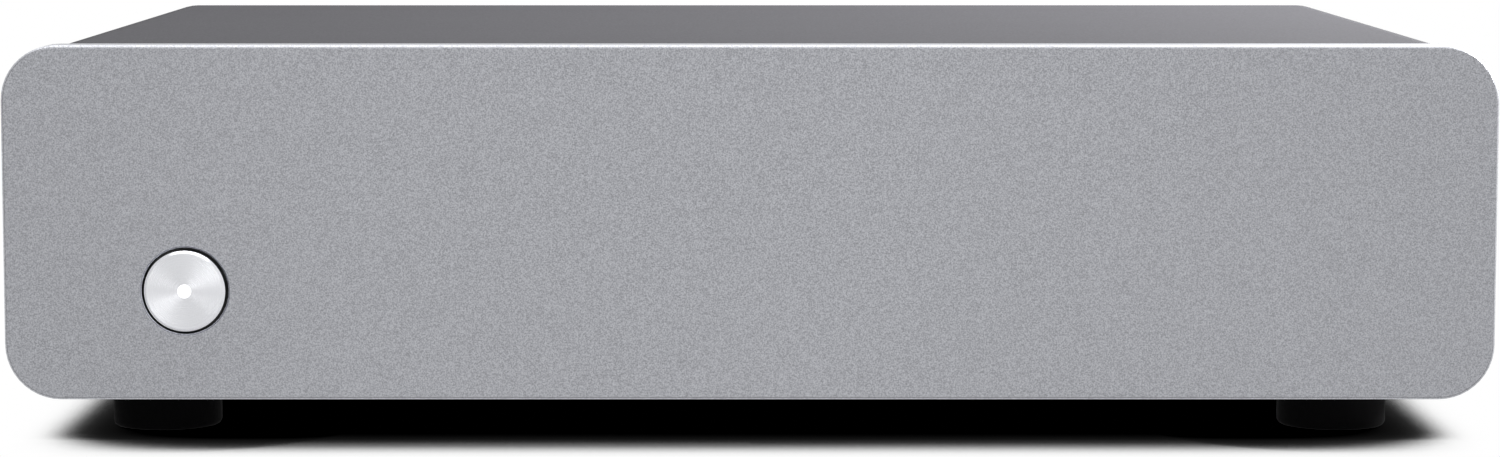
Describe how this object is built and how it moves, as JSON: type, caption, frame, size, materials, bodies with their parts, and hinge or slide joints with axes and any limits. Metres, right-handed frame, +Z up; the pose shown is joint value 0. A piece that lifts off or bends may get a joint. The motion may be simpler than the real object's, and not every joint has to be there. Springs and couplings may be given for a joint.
{
  "type": "phono preamplifier",
  "caption": "Low half-width box with a thick rounded metal front plate, one round lit power button, a folded dark cover, and phono, ground, balance and mains fittings at the back.",
  "frame": {"origin": "on the floor, under the middle of the bounding box", "axes": "+X to the object's right seen from the front, +Z up, and the front faces -Y"},
  "size_m": [0.215, 0.159, 0.0572],
  "materials": {
    "fascia_metal": "bead-blasted and anodised, satin",
    "cover_paint": "fine powder coat, satin",
    "tray_steel": "zinc-plated sheet",
    "panel_paint": "fine powder coat, matt",
    "foot_rubber": "matt",
    "zinc_steel": "zinc-plated",
    "black_steel": "blackened",
    "button_metal": "spun, bright",
    "light_guide": "clear, lit white from behind",
    "black_plastic": "moulded, fine texture",
    "spring_steel": "drawn wire",
    "board_laminate": "solder resist",
    "white_plastic": "moulded",
    "red_plastic": "moulded",
    "led_resin": "clear resin",
    "brass_plate": "bright",
    "socket_metal": "nickel-plated, bright",
    "pot_metal": "plated",
    "knob_plastic": "moulded, satin",
    "fuse_glass": "clear tube with plated caps",
    "copper_wire": "enamelled",
    "capacitor_yellow": "moulded",
    "capacitor_red": "moulded",
    "capacitor_sleeve": "shrink sleeve",
    "ferrite": "sintered",
    "sink_metal": "black anodised",
    "relay_plastic": "moulded",
    "lead_sleeve": "flexible sleeve"
  },
  "bodies": {
    "chassis": {"balance_nut": "socket_metal", "balance_pot": "pot_metal", "board_headers": "white_plastic", "board_screws": "zinc_steel", "board_standoffs": "brass_plate", "bulk_capacitor": "capacitor_sleeve", "button_housing": "black_plastic", "button_screws": "zinc_steel", "button_spring": "spring_steel", "chassis_tray": "tray_steel", "chip_resistors": "black_plastic", "chips": "black_plastic", "cover_screws": "black_steel", "fascia_screws": "zinc_steel", "feet": "foot_rubber", "film_capacitors": "capacitor_red", "filter_capacitor": "capacitor_yellow", "filter_choke": "copper_wire", "foot_screws": "zinc_steel", "front_fascia": "fascia_metal", "fuse_clips": "socket_metal", "ground_lock_nut": "socket_metal", "ground_post": "brass_plate", "ground_tag": "socket_metal", "heat_sink": "sink_metal", "inlet_pins": "socket_metal", "input_jack_block": "black_plastic", "jack_barrels": "socket_metal", "jack_contacts": "brass_plate", "main_board": "board_laminate", "mains_fuse": "fuse_glass", "mains_inlet": "black_plastic", "mute_relays": "relay_plastic", "output_jack_block": "black_plastic", "panel_screws": "black_steel", "power_board": "board_laminate", "power_led": "led_resin", "power_switch": "black_plastic", "power_transformer": "ferrite", "rear_panel": "panel_paint", "red_insulators": "red_plastic", "signal_capacitors": "capacitor_sleeve", "smoothing_capacitors": "capacitor_sleeve", "supply_capacitors": "capacitor_sleeve", "supply_lead": "lead_sleeve", "switch_board": "board_laminate", "switch_lead": "lead_sleeve", "top_cover": "cover_paint", "transformer_winding": "capacitor_yellow", "tray_nuts": "zinc_steel", "voltage_regulators": "black_plastic", "white_insulators": "white_plastic"},
    "button": {"power_button": "button_metal", "button_light_guide": "light_guide", "button_plunger": "black_plastic", "switch_stem": "white_plastic"},
    "balance_control": {"balance_shaft": "black_plastic", "balance_knob": "knob_plastic"},
    "terminal_washer": {"ground_washer": "socket_metal"},
    "terminal_nut": {"ground_nut": "socket_metal"}
  },
  "joints": [
    {"name": "power_button_press", "type": "slide", "parent": "chassis", "child": "button", "axis": [0, 1, 0], "range_m": [0, 0.0008], "stiffness_N_per_m": 400, "deforming": ["button_spring"]},
    {"name": "balance_turn", "type": "hinge", "parent": "chassis", "child": "balance_control", "pos_m": [-0.022, 0.075, 0.0272], "axis": [0, 1, 0], "range_deg": [-140, 140]},
    {"name": "ground_washer_slide", "type": "slide", "parent": "chassis", "child": "terminal_washer", "axis": [0, 1, 0], "range_m": [0, 0.0014]},
    {"name": "ground_nut_turn", "type": "hinge", "parent": "terminal_washer", "child": "terminal_nut", "pos_m": [0.0775, 0.075, 0.0272], "axis": [0, 1, 0], "range_deg": [0, 720]}
  ],
  "couplings": [
    {"joint": "ground_nut_turn", "follows": "ground_washer_slide", "rad_per_m": 8976}
  ]
}
